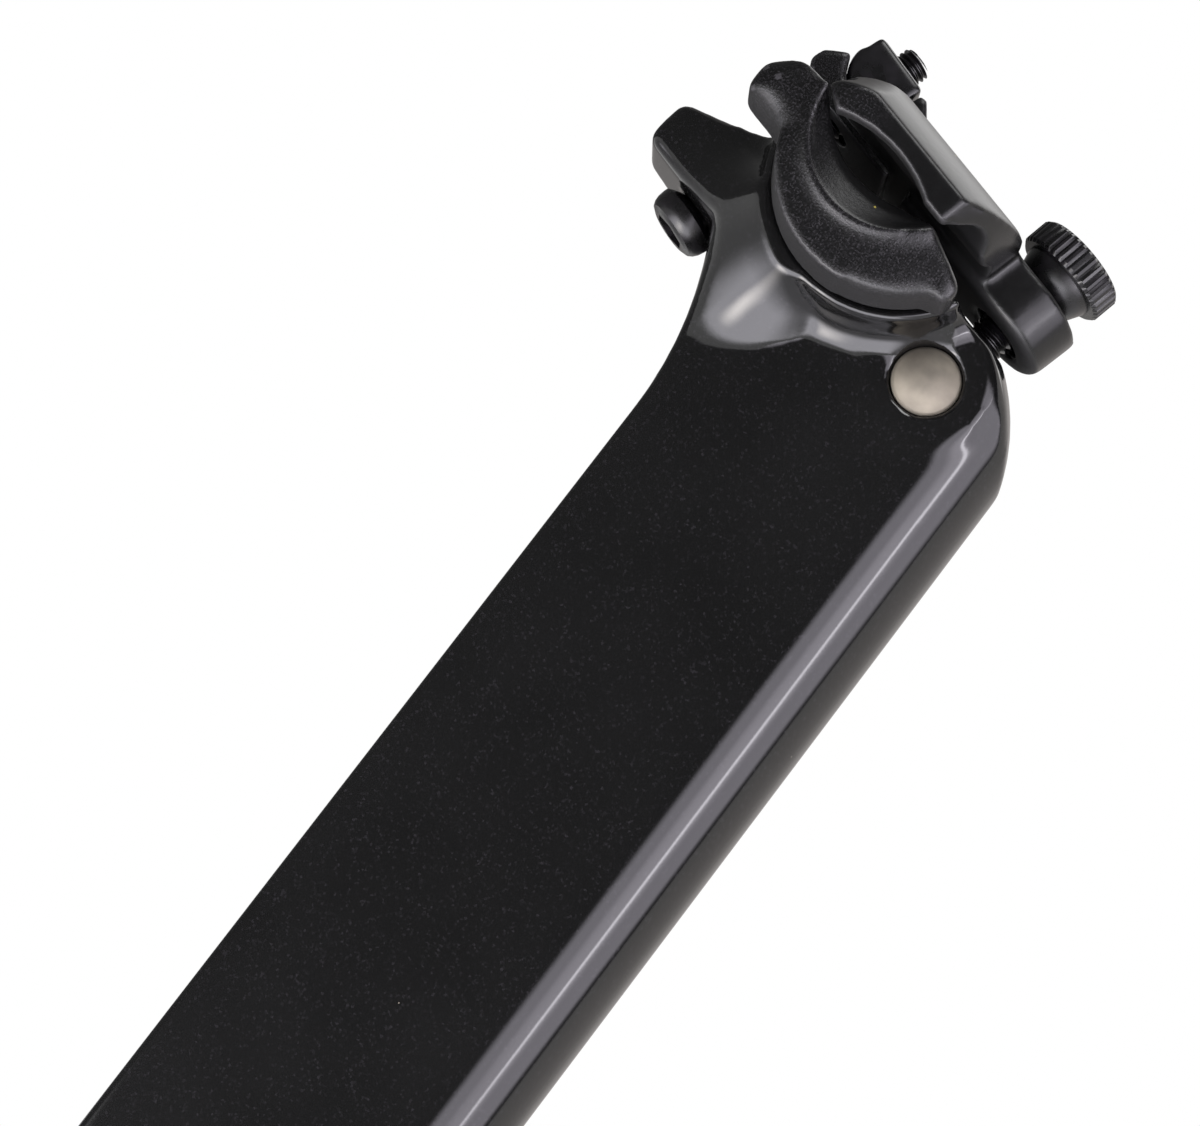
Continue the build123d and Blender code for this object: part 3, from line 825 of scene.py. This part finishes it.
@dataclass
class SaddleClamp:
    """The two castings that hold the saddle's rails."""

    cradle_voxel: float = 0.34
    first_rounds: int = 2  # before the cradle's ends are rounded
    cradle_rounds: int = 4
    clamp_voxel: float = 0.31
    clamp_rounds: int = 10
    arm_start: float = 17.3
    arm_end: float = 28.0
    belly_radius: float = 16.9
    belly_steps: int = 40
    edge_steps: int = 220
    rear_tip: tuple[tuple[float, float], ...] = (
        (-20.3, -0.8),
        (-22.7, -5.0),
        (-21.7, -9.2),
        (-14.2, -9.2),
    )
    front_tip: tuple[tuple[float, float], ...] = (
        (15.0, -7.8),
        (17.4, -7.8),
        (17.4, -4.2),
        (15.0, -1.3),
        (11.0, -1.3),
    )
    end_width: float = 4.6  # how far in from the outline each end rounds over
    end_places: tuple[float, ...] = (-17.0, -12.0, 3.0, 9.0)  # places along the rails
    end_depths: tuple[float, ...] = (2.6, 0.6, 0.6, 0.9)  # how far it falls back there
    ridge_middle: tuple[float, float] = (-3.0, 0.7)  # centre of the ridge round the trough
    ridge_radius: float = 11.5
    ridge_fall: float = 0.95  # how far the end lies below its ridge
    ridge_run: float = 1.3
    tips: tuple[float, float] = (-15.5, 6.5)  # beyond these, along the rails, the tips are rounder
    tip_rounds: tuple[int, int] = (36, 50)
    ear_from: float = 9.0
    ear_rounds: int = 30
    tower_from: tuple[float, float] = (-9.0, 6.0)  # tower lies behind and above these, along the rails
    tower_rounds: int = 18

    def along_rails(self, points: np.ndarray) -> tuple[np.ndarray, np.ndarray]:
        """Give each point's place along the rails and square to them.

        Args:
            points: Points in millimetres.

        Returns:
            How far forward and how far above the tilt axis each one is.
        """
        slope = math.radians(RAIL_TILT)
        ahead = points[:, 0] - TILT_POINT.x
        above = points[:, 2] - TILT_POINT.z
        forward = ahead * math.cos(slope) - above * math.sin(slope)
        return forward, ahead * math.sin(slope) + above * math.cos(slope)

    def outline(self) -> np.ndarray:
        """Give close-set points round the cradle's outer edge, seen from its end."""
        start = math.atan2(self.rear_tip[-1][1], self.rear_tip[-1][0])
        stop = math.atan2(self.front_tip[0][1], self.front_tip[0][0])
        belly = [
            (self.belly_radius * math.cos(turn), self.belly_radius * math.sin(turn))
            for turn in np.linspace(start, stop, self.belly_steps)
        ]
        rough = np.array([*self.rear_tip, *belly, *self.front_tip])
        steps = np.concatenate([[0.0], np.cumsum(np.hypot(*np.diff(rough, axis=0).T))])
        places = np.linspace(0.0, steps[-1], self.edge_steps)
        return np.column_stack([np.interp(places, steps, column) for column in rough.T])

    def rounded_ends(self, points: np.ndarray) -> np.ndarray:
        """Round the cradle's two ends over towards its belly and tips.

        Args:
            points: The cradle's points, in millimetres.

        Returns:
            The points with the ends rounded.
        """
        forward, above = self.along_rails(points)
        edge = self.outline()
        depth = np.abs(points[:, 1])
        gap = np.full(len(points), self.end_width)
        on_arm = np.flatnonzero(depth > self.arm_start)
        flat = np.column_stack([forward[on_arm], above[on_arm]])
        gap[on_arm] = np.sqrt(((flat[:, None, :] - edge[None, :, :]) ** 2).sum(axis=2)).min(axis=1)
        share = 1.0 - np.clip(gap / self.end_width, 0.0, 1.0)
        depths = np.interp(forward, self.end_places, self.end_depths)
        across, over = self.ridge_middle
        beyond = np.hypot(forward - across, above - over) - self.ridge_radius
        fall = self.ridge_fall * (1.0 - np.exp(-np.maximum(beyond, 0.0) / self.ridge_run))
        limit = self.arm_end - fall - depths * (1.0 - np.sqrt(1.0 - share**2))
        result = points.copy()
        kept = np.where(depth > self.arm_start, np.minimum(depth, limit), depth)
        result[:, 1] = np.sign(points[:, 1]) * kept
        return result

    def build_cradle(self) -> bpy.types.Object:
        """Mesh the cradle, round its ends and even the mesh again."""
        piece = remeshed("lower_cradle", "cradle_casting", self.cradle_voxel, self.first_rounds)
        set_corners(piece, self.rounded_ends(corners(piece)))
        even_out(piece, self.cradle_voxel, self.cradle_rounds)
        points = corners(piece)
        forward, _ = self.along_rails(points)
        on_arm = np.abs(points[:, 1]) > self.arm_start
        soften(piece, on_arm & (forward < self.tips[0]), self.tip_rounds[0])
        soften(piece, on_arm & (forward > self.tips[1]), self.tip_rounds[1])
        return piece

    def build_clamp(self) -> bpy.types.Object:
        """Mesh the upper clamp and round its ear and tower."""
        piece = remeshed("upper_clamp", "clamp_casting", self.clamp_voxel, self.clamp_rounds)
        forward, above = self.along_rails(corners(piece))
        soften(piece, forward > self.ear_from, self.ear_rounds)
        soften(piece, (forward < self.tower_from[0]) & (above > self.tower_from[1]), self.tower_rounds)
        return piece

    def dress(self, cradle_finish: bpy.types.Material, clamp_finish: bpy.types.Material) -> None:
        """Build both castings and give them their finishes."""
        dress(self.build_cradle(), cradle_finish, Body.CLAMP, "lower_cradle")
        dress(self.build_clamp(), clamp_finish, Body.CLAMP, "upper_clamp")


@dataclass
class FrontFastening:
    """The thumb bolt and the barrel nut that it screws into."""

    tail: float = -8.0
    flange_low: float = 22.09
    head_low: float = 25.49
    head_top: float = 29.69
    flange_foot: float = 4.8
    flange_radius: float = 5.9
    head_radius: float = 7.4
    edge: float = 0.45
    ridges: int = 38
    ridge_sides: int = 6
    groove: float = 0.34
    groove_flank: float = 0.55  # depth of a groove's flanks, as a share of its middle
    socket_flats: float = 4.0
    socket_depth: float = 3.0
    plain_low: float = 15.0  # lower end of the bolt's plain neck
    neck_relief: float = 0.2
    foot_edge: float = 0.3
    flange_edge: float = 0.25
    overlap: float = 0.6  # how far the thread runs into the turned part
    thread: Thread = Thread(3.0, 1.0, 0.55)
    pin_radius: float = 4.74  # turns clear of the meshed hole
    pin_half: float = 10.81
    dome_height: float = 1.4
    dome_radius: float = 4.4
    rim_drop: float = 0.5
    pin_hole: float = 3.05
    dome_rings: int = 9
    dome_turn: float = 88.0  # degrees, just short of the pole

    def build_bolt(self) -> bpy.types.Object:
        """Turn the knurled head and its flange, cut the socket and add the thread."""
        sides = self.ridges * self.ridge_sides
        neck = self.thread.radius - self.neck_relief
        rings = [
            (neck, self.plain_low),
            (neck, self.flange_low),
            (self.flange_foot - self.foot_edge, self.flange_low),
            (self.flange_foot, self.flange_low + self.foot_edge),
            (self.flange_radius, self.head_low - self.flange_edge),
            (self.flange_radius, self.head_low),
            (self.head_radius - self.edge, self.head_low),
            (self.head_radius, self.head_low + self.edge),
            (self.head_radius, self.head_top - self.edge),
            (self.head_radius - self.edge, self.head_top),
        ]
        bolt = turned("thumb_bolt_turned", rings, sides)
        self.knurl(bolt, sides)
        bit = hex_bit(self.socket_flats, self.head_top - self.socket_depth, self.head_top + CLEAR)
        combine(bolt, bit, Shaping.CUT)
        combine(bolt, self.thread.rod(self.tail, self.plain_low + self.overlap), Shaping.ADD)
        shade(bolt, CREASE)
        stand(bolt, PIN_POINT, FRONT_LEAN)
        return bolt

    def knurl(self, bolt: bpy.types.Object, sides: int) -> None:
        """Press straight grooves into the head's rim.

        Args:
            bolt: The turned bolt, still upright.
            sides: How many flats its round has.
        """
        half = self.ridge_sides // 2
        rim = (self.head_radius - self.edge / 2) * MM
        pick_only(bolt)
        for steps, depth in (((half - 1, half + 1), self.groove_flank), ((half,), 1.0)):
            bpy.ops.object.mode_set(mode="EDIT")
            bpy.ops.mesh.select_mode(type="VERT")
            bpy.ops.mesh.select_all(action="DESELECT")
            bpy.ops.object.mode_set(mode="OBJECT")
            for spot in bolt.data.vertices:
                angle = math.atan2(spot.co.y, spot.co.x) / math.tau
                step = round(angle * sides) % self.ridge_sides
                spot.select = math.hypot(spot.co.x, spot.co.y) > rim and step in steps
            bpy.ops.object.mode_set(mode="EDIT")
            share = 1.0 - depth * self.groove / self.head_radius
            bpy.ops.transform.resize(value=(share, share, 1), center_override=(0, 0, 0))
            bpy.ops.object.mode_set(mode="OBJECT")

    def build_pin(self) -> bpy.types.Object:
        """Turn the barrel nut's domed pin and drill it for the bolt."""
        ball = (self.dome_radius**2 + self.dome_height**2) / (2 * self.dome_height)
        tip = self.pin_half + self.dome_height
        turns = [math.radians(self.dome_turn * i / self.dome_rings) for i in range(self.dome_rings + 1)]
        radii = [self.dome_radius * math.cos(turn) for turn in turns]
        dome = [(radius, tip - ball + math.sqrt(ball**2 - radius**2)) for radius in radii]
        dome.insert(0, (self.pin_radius, self.pin_half - self.rim_drop))
        rings = [(radius, -height) for radius, height in reversed(dome)] + dome
        pin = turned("barrel_nut_turned", rings, ROUND_SIDES)
        pick_only(pin)
        pin.matrix_world = Matrix.Rotation(math.radians(90), 4, "X")
        bpy.ops.object.transform_apply(location=True, rotation=True, scale=True)
        through = 2 * self.pin_radius
        drill = turned("drill", [(self.pin_hole, -through), (self.pin_hole, through)], BORE_SIDES)
        combine(pin, drill, Shaping.CUT)
        shade(pin, CREASE)
        stand(pin, PIN_POINT, FRONT_LEAN)
        return pin

    def dress(self, bolt_finish: bpy.types.Material, pin_finish: bpy.types.Material) -> None:
        """Build both pieces and give them their finishes."""
        dress(self.build_bolt(), bolt_finish, Body.THUMB, "front_thumb_bolt")
        dress(self.build_pin(), pin_finish, Body.BARREL, "front_barrel_nut")


@dataclass
class RearFastening:
    """The rear bolt and the half nut that it pulls on."""

    face: float = -24.8
    ball_centre: float = -26.5
    ball_radius: float = 7.0
    skirt: float = 0.6
    head_radius: float = 5.1
    face_radius: float = 3.7
    brim_width: float = 0.3
    brim_rise: float = 0.12
    crown_turns: tuple[float, ...] = (25.0, 45.0, 65.0, 90.0)  # degrees round the head's edge
    ball_rings: tuple[float, ...] = (4.5, 3.7, 3.0)  # radii on the ball-shaped seat
    shank_relief: float = 0.1
    socket_flats: float = 5.0
    socket_depth: float = 2.6
    plain_top: float = -6.0  # upper end of the plain shank
    overlap: float = 0.6  # how far the thread runs into the shank
    tip: float = 17.75
    thread: Thread = Thread(2.5, 0.8, 0.44)
    nut_voxel: float = 0.19
    nut_rounds: int = 18
    bore_reach: float = 3.7  # the half nut is rounder beyond this distance from the bolt's axis
    corner_rounds: int = 90

    def build_bolt(self) -> bpy.types.Object:
        """Turn the round head, cut its socket and add the shank's thread."""
        skirt_top = self.ball_centre + math.sqrt(self.ball_radius**2 - self.head_radius**2)
        crown = self.head_radius - self.face_radius
        bulge = skirt_top - self.skirt - self.face
        brim = self.face + self.brim_rise
        rings = [(self.face_radius - self.brim_width, self.face), (self.face_radius, brim)]
        for turn in np.radians(self.crown_turns).tolist():
            radius = self.face_radius + crown * math.sin(turn)
            rings.append((radius, brim + bulge * (1 - math.cos(turn))))
        rings.append((self.head_radius, skirt_top))
        shank = self.thread.radius - self.shank_relief
        for radius in (*self.ball_rings, shank):
            rings.append((radius, self.ball_centre + math.sqrt(self.ball_radius**2 - radius**2)))
        rings.append((shank, self.plain_top))
        bolt = turned("rear_bolt_turned", rings, ROUND_SIDES)
        bit = hex_bit(self.socket_flats, self.face - CLEAR, self.face + self.socket_depth)
        combine(bolt, bit, Shaping.CUT)
        combine(bolt, self.thread.rod(self.plain_top - self.overlap, self.tip), Shaping.ADD)
        shade(bolt, CREASE)
        stand(bolt, self.origin(), REAR_LEAN)
        return bolt

    def origin(self) -> Vector:
        """Give the point on the bolt's axis that is level with the rails."""
        slope = math.radians(RAIL_TILT)
        return TILT_POINT - REAR_BACK * Vector((math.cos(slope), 0, -math.sin(slope)))

    def build_nut(self) -> bpy.types.Object:
        """Mesh the half nut and round it off outside its bore."""
        nut = remeshed("rear_half_nut", "half_nut_milled", self.nut_voxel, self.nut_rounds)
        points = corners(nut) - np.array(self.origin())
        lean = math.radians(REAR_LEAN)
        ahead = points[:, 0] * math.cos(lean) - points[:, 2] * math.sin(lean)
        soften(nut, np.hypot(ahead, points[:, 1]) > self.bore_reach, self.corner_rounds)
        return nut

    def dress(self, finish: bpy.types.Material) -> None:
        """Build both pieces and give them their finish."""
        dress(self.build_bolt(), finish, Body.REAR_BOLT, "rear_bolt")
        dress(self.build_nut(), finish, Body.REAR_NUT, "rear_half_nut")


@dataclass(frozen=True)
class SoftBox:
    """A soft-edged studio lamp, in millimetres."""

    name: str
    place: tuple[float, float, float]
    target: tuple[float, float, float]  # the point that it faces
    size: tuple[float, float]
    glow: float  # brightness, where white paper is 1
    soft: float  # share of its width over which each edge fades
    tint: str = WHITE

    def hang(self) -> None:
        """Hang the lamp so that it faces its target."""
        data = bpy.data.lights.new(self.name, "AREA")
        data.shape = "RECTANGLE"
        data.size = self.size[0] * MM
        data.size_y = self.size[1] * MM
        data.energy = self.glow * math.pi * data.size * data.size_y
        data.color = linear(self.tint)[:3]
        data.use_nodes = True
        tree = data.node_tree
        tree.nodes.clear()
        spot = add_node(tree, Kind.GEOMETRY).outputs["Parametric"]
        axes = add_node(tree, Kind.SPLIT, {0: spot})
        fades = []
        for axis in ("X", "Y"):
            edge = add_node(tree, Kind.MATH, {0: axes.outputs[axis], 1: 0.5}, operation="PINGPONG")
            fade = add_node(
                tree,
                Kind.RANGE,
                {"Value": edge.outputs[0], "From Max": self.soft},
                interpolation_type="SMOOTHSTEP",
            )
            fades.append(fade.outputs["Result"])
        share = add_node(tree, Kind.MATH, dict(enumerate(fades)), operation="MULTIPLY")
        light = add_node(tree, Kind.EMISSION, {"Strength": share.outputs[0]})
        add_node(tree, Kind.LIGHT_OUT, {"Surface": light.outputs[0]})
        lamp = bpy.data.objects.new(self.name, data)
        bpy.context.scene.collection.objects.link(lamp)
        lamp.location = Vector(self.place) * MM
        facing = Vector(self.target) - Vector(self.place)
        lamp.rotation_euler = facing.to_track_quat("-Z", "Y").to_euler()
        lamp.visible_camera = False


@dataclass
class Studio:
    """Pale floor, soft boxes, plain world and the camera."""

    lens: float = 90.0
    sensor: float = 36.0
    clip: float = 10.0
    camera_place: tuple[float, float, float] = (24.4, -405.1, 242.9)
    camera_right: tuple[float, float, float] = (0.795, 0.009, 0.606)
    camera_back: tuple[float, float, float] = (0.0953, -0.9894, -0.1097)
    floor_size: float = 2200.0
    floor_drop: float = 0.5
    floor_shade: str = "#ececec"
    floor_rough: float = 0.9
    floor_fade: tuple[float, float] = (300.0, 750.0)  # radii between which it turns plain white
    head: tuple[float, float, float] = (0.0, 0.0, 300.0)  # where most lamps aim
    over_low: tuple[float, float, float] = (-20.0, -270.0, 580.0)  # where the low lamps aim
    rise: float = 6.0  # degrees by which the upright lamps stand above the head
    side_span: tuple[float, float] = (-0.6, 0.6)  # spans of the world's direction, rear to front
    depth_span: tuple[float, float] = (-1.0, 1.0)  # from behind the camera to behind the post
    back_edge: tuple[float, float] = (-0.15, -0.12)  # where the room behind the post begins

    def build(self) -> None:
        """Set up the whole studio."""
        bpy.context.scene.view_settings.view_transform = "Standard"
        self.set_camera()
        self.lay_floor()
        self.light_world()
        self.hang_lamps()

    def set_camera(self) -> None:
        """Stand the camera at the picture's viewing angle."""
        data = bpy.data.cameras.new("camera")
        data.lens = self.lens
        data.sensor_width = self.sensor
        data.sensor_fit = "HORIZONTAL"
        data.clip_start = self.clip * MM
        camera = bpy.data.objects.new("camera", data)
        bpy.context.scene.collection.objects.link(camera)
        back = Vector(self.camera_back).normalized()
        right = Vector(self.camera_right)
        right = (right - back * right.dot(back)).normalized()
        up = back.cross(right)
        turn = Matrix((right, up, back)).transposed().to_4x4()
        camera.matrix_world = Matrix.Translation(Vector(self.camera_place) * MM) @ turn
        bpy.context.scene.camera = camera

    def lay_floor(self) -> None:
        """Lay the pale floor, which turns plain white away from the post."""
        bpy.ops.object.select_all(action="DESELECT")
        bpy.ops.mesh.primitive_plane_add(
            size=self.floor_size * MM, location=(0, 0, -self.floor_drop * MM)
        )
        floor = bpy.context.active_object
        floor.name = "floor"
        material, tree = new_material("matt_white_floor")
        paint = {"Base Color": linear(self.floor_shade), "Roughness": self.floor_rough}
        matt = add_node(tree, Kind.PRINCIPLED, paint)
        place = add_node(tree, Kind.COORDINATE).outputs["Object"]
        far = add_node(tree, Kind.VECTOR_MATH, {0: place}, operation="LENGTH")
        start, stop = self.floor_fade
        fade = add_node(
            tree,
            Kind.RANGE,
            {"Value": far.outputs["Value"], "From Min": start * MM, "From Max": stop * MM},
        )
        path = add_node(tree, Kind.LIGHT_PATH).outputs
        seen = path["Is Camera Ray"]
        for ray in ("Is Glossy Ray", "Is Transmission Ray"):
            seen = add_node(tree, Kind.MATH, {0: seen, 1: path[ray]}, operation="MAXIMUM").outputs[0]
        share = add_node(tree, Kind.MATH, {0: seen, 1: fade.outputs["Result"]}, operation="MULTIPLY")
        white = add_node(tree, Kind.EMISSION, {"Color": linear(WHITE), "Strength": 1.0})
        shown = {0: share.outputs[0], 1: matt.outputs["BSDF"], 2: white.outputs[0]}
        mix = add_node(tree, Kind.MIX_SHADER, shown)
        add_node(tree, Kind.MATERIAL_OUT, {"Surface": mix.outputs[0]})
        floor.data.materials.append(material)

    def light_world(self) -> None:
        """Fill the room with even light, and mirror it white behind the post and dim elsewhere."""
        world = bpy.data.worlds.new("studio")
        bpy.context.scene.world = world
        world.use_nodes = True
        tree = world.node_tree
        tree.nodes.clear()
        direction = add_node(tree, Kind.COORDINATE).outputs["Generated"]
        axes = add_node(tree, Kind.SPLIT, {0: direction}).outputs
        ranges = []
        for axis, (low, high) in (("X", self.side_span), ("Y", self.depth_span), ("Y", self.back_edge)):
            links = {"Value": axes[axis], "From Min": low, "From Max": high}
            ranges.append(add_node(tree, Kind.RANGE, links).outputs["Result"])
        across, away, beyond = ranges
        dim = add_node(tree, Kind.RAMP, {"Fac": across}, [(0.0, "#6d6d6d"), (1.0, "#4a494b")])
        haze = [(0.44, "#fffdfb"), (0.56, "#fffaf7"), (0.8, "#f1ebe8")]
        bright = add_node(tree, Kind.RAMP, {"Fac": away}, haze)
        behind = add_node(tree, Kind.MATH, {0: beyond, 1: across}, operation="MULTIPLY")
        room = add_node(
            tree,
            Kind.MIX,
            {"Factor": behind.outputs[0], "A": dim.outputs["Color"], "B": bright.outputs["Color"]},
            data_type="RGBA",
        )
        path = add_node(tree, Kind.LIGHT_PATH).outputs
        mirrored = {0: path["Is Glossy Ray"], 1: path["Is Transmission Ray"]}
        mirror = add_node(tree, Kind.MATH, mirrored, operation="MAXIMUM")
        ambient = add_node(
            tree,
            Kind.MIX,
            {"Factor": mirror.outputs[0], "A": linear("#8c8c8e"), "B": room.outputs[MIXED]},
            data_type="RGBA",
        )
        shown = add_node(
            tree,
            Kind.MIX,
            {"Factor": path["Is Camera Ray"], "A": ambient.outputs[MIXED], "B": linear(WHITE)},
            data_type="RGBA",
        )
        sky = add_node(tree, Kind.BACKGROUND, {"Color": shown.outputs[MIXED], "Strength": 1.0})
        add_node(tree, Kind.WORLD_OUT, {"Surface": sky.outputs[0]})

    def hang_lamps(self) -> None:
        """Hang the soft boxes round the post."""
        head, low = self.head, self.over_low
        for box in (
            SoftBox("front_box", self.around(45, 900), head, (1300, 1100), 3.2, 0.16, "#f4effb"),
            SoftBox("core_box", self.around(48, 890), head, (520, 1100), 2.0, 0.45, "#f6f1fb"),
            SoftBox("strip_box", self.around(42, 880), head, (90, 1100), 9.0, 0.4, "#fbf8ff"),
            SoftBox("low_box", (-20, -330, 30), low, (860, 560), 4.8, 0.22, "#f8f6ff"),
            SoftBox("low_core", (-60, -260, 28), low, (480, 240), 9.0, 0.5, "#fff8f0"),
            SoftBox("key_box", (-70, -440, 960), head, (400, 400), 6.5, 0.3),
            SoftBox("top_box", (110, 420, 1210), head, (900, 900), 2.6, 0.2),
        ):
            box.hang()

    def around(self, from_front: float, distance: float) -> tuple[float, float, float]:
        """Give a place round the post's head.

        Args:
            from_front: Degrees from straight ahead, towards the camera.
            distance: Millimetres from the head.

        Returns:
            The place in millimetres.
        """
        rise, angle = math.radians(self.rise), math.radians(from_front)
        flat = distance * math.cos(rise)
        height = self.head[2] + distance * math.sin(rise)
        return (flat * math.cos(angle), -flat * math.sin(angle), height)


def main() -> None:
    """Build the seatpost's pieces, then the studio."""
    logging.basicConfig(level=logging.INFO, format="%(name)s %(message)s")
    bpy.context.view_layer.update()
    rough_cast = CastBlack().material()
    smooth_cast = CastBlack("satin_cast_black_aluminium", smooth_from=-20.0).material()
    oxide = BlackOxide().material()
    PostShell().dress(GlossCarbon().material())
    SaddleClamp().dress(rough_cast, smooth_cast)
    FrontFastening().dress(oxide, SatinSteel().material())
    RearFastening().dress(oxide)
    Studio().build()


if __name__ == "__main__":
    main()
